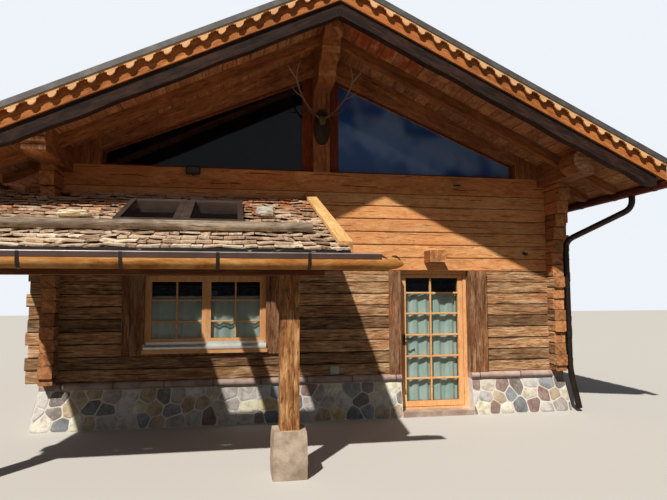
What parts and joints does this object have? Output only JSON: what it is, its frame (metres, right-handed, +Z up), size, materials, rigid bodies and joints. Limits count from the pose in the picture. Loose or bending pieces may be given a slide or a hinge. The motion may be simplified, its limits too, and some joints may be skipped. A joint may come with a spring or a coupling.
{
  "type": "alpine chalet",
  "caption": "Alpine log chalet with rubble base, notched log corners, glazed purlin gable, carved barge boards and a shingled porch roof on posts",
  "frame": {"origin": "on the ground under the middle of the front log wall's outer face, below the ridge line", "axes": "+X right along the front, +Y into the house along the ridge, +Z up"},
  "size_m": [8.71, 11.275, 5.3998],
  "materials": {
    "stone_floor": "honed stone slabs",
    "pink_stone": "pinkish porphyry, hewn",
    "rubble_stone": "mixed rubble in pale mortar",
    "old_logs": "weathered dark hewn logs",
    "brown_logs": "orange brown hewn logs",
    "beam_wood": "brown hewn beams",
    "floor_boards": "plain boards",
    "dark_posts": "dark weathered planks",
    "deck_boards": "sawn boards",
    "shingles": "split weathered shingles",
    "joinery": "varnished larch",
    "window_glass": "clear insulating glass",
    "curtain_cloth": "thin pale cloth",
    "dark_metal": "black painted iron",
    "barge_wood": "carved larch boards",
    "flashing_metal": "grey sheet",
    "brown_gutter": "reddish brown stain",
    "pipe_metal": "dark brown sheet",
    "pale_wood": "fresh honey coloured wood",
    "grey_log": "grey debarked log",
    "plaque_wood": "dark plaque",
    "horn": "antler with pale tips"
  },
  "bodies": {
    "house": {"ground_floor": "stone_floor", "door_step": "pink_stone", "front_plinth": "rubble_stone", "side_plinths": "rubble_stone", "back_plinth": "rubble_stone", "plinth_caps": "pink_stone", "front_wall_sill_logs": "old_logs", "front_wall_left": "old_logs", "front_wall_middle": "old_logs", "front_wall_right": "old_logs", "front_wall_upper": "brown_logs", "tie_beam": "brown_logs", "left_wall": "old_logs", "right_wall": "old_logs", "back_wall": "old_logs", "back_gable": "brown_logs", "floor_beams": "beam_wood", "upper_floor": "floor_boards", "door_posts": "dark_posts", "window_casing": "dark_posts", "window_sill": "joinery", "window_frames": "joinery", "window_glass": "window_glass", "window_curtains": "curtain_cloth", "door_frame": "joinery", "door_hinges": "dark_metal", "gable_posts": "beam_wood", "gable_rafters": "beam_wood", "gable_window_frames": "joinery", "gable_glass": "window_glass", "ridge_beams": "beam_wood", "eave_purlins": "beam_wood", "rafters": "beam_wood", "left_roof_deck": "deck_boards", "right_roof_deck": "deck_boards", "left_roof_cover": "shingles", "right_roof_cover": "shingles", "barge_boards": "barge_wood", "carved_boards": "barge_wood", "verge_flashing": "flashing_metal", "main_gutters": "brown_gutter", "gutter_straps": "dark_metal", "downpipes": "pipe_metal", "porch_posts": "dark_posts", "post_boulders": "pink_stone", "porch_beams": "beam_wood", "porch_rafters": "beam_wood", "porch_deck": "deck_boards", "porch_cover": "shingles", "porch_verge_board": "pale_wood", "porch_gutter": "pale_wood", "skylight_frames": "pipe_metal", "snow_log": "grey_log", "antler_plaque": "plaque_wood", "antlers": "horn", "wall_lamps": "dark_metal"},
    "door": {"door_leaf": "joinery", "door_glass": "window_glass", "door_fittings": "dark_metal", "door_curtain": "curtain_cloth"}
  },
  "joints": [
    {"name": "door_swing", "type": "hinge", "parent": "house", "child": "door", "pos_m": [2.097, 0.179, 1], "axis": [0, 0, -1], "range_deg": [0, 95]}
  ]
}
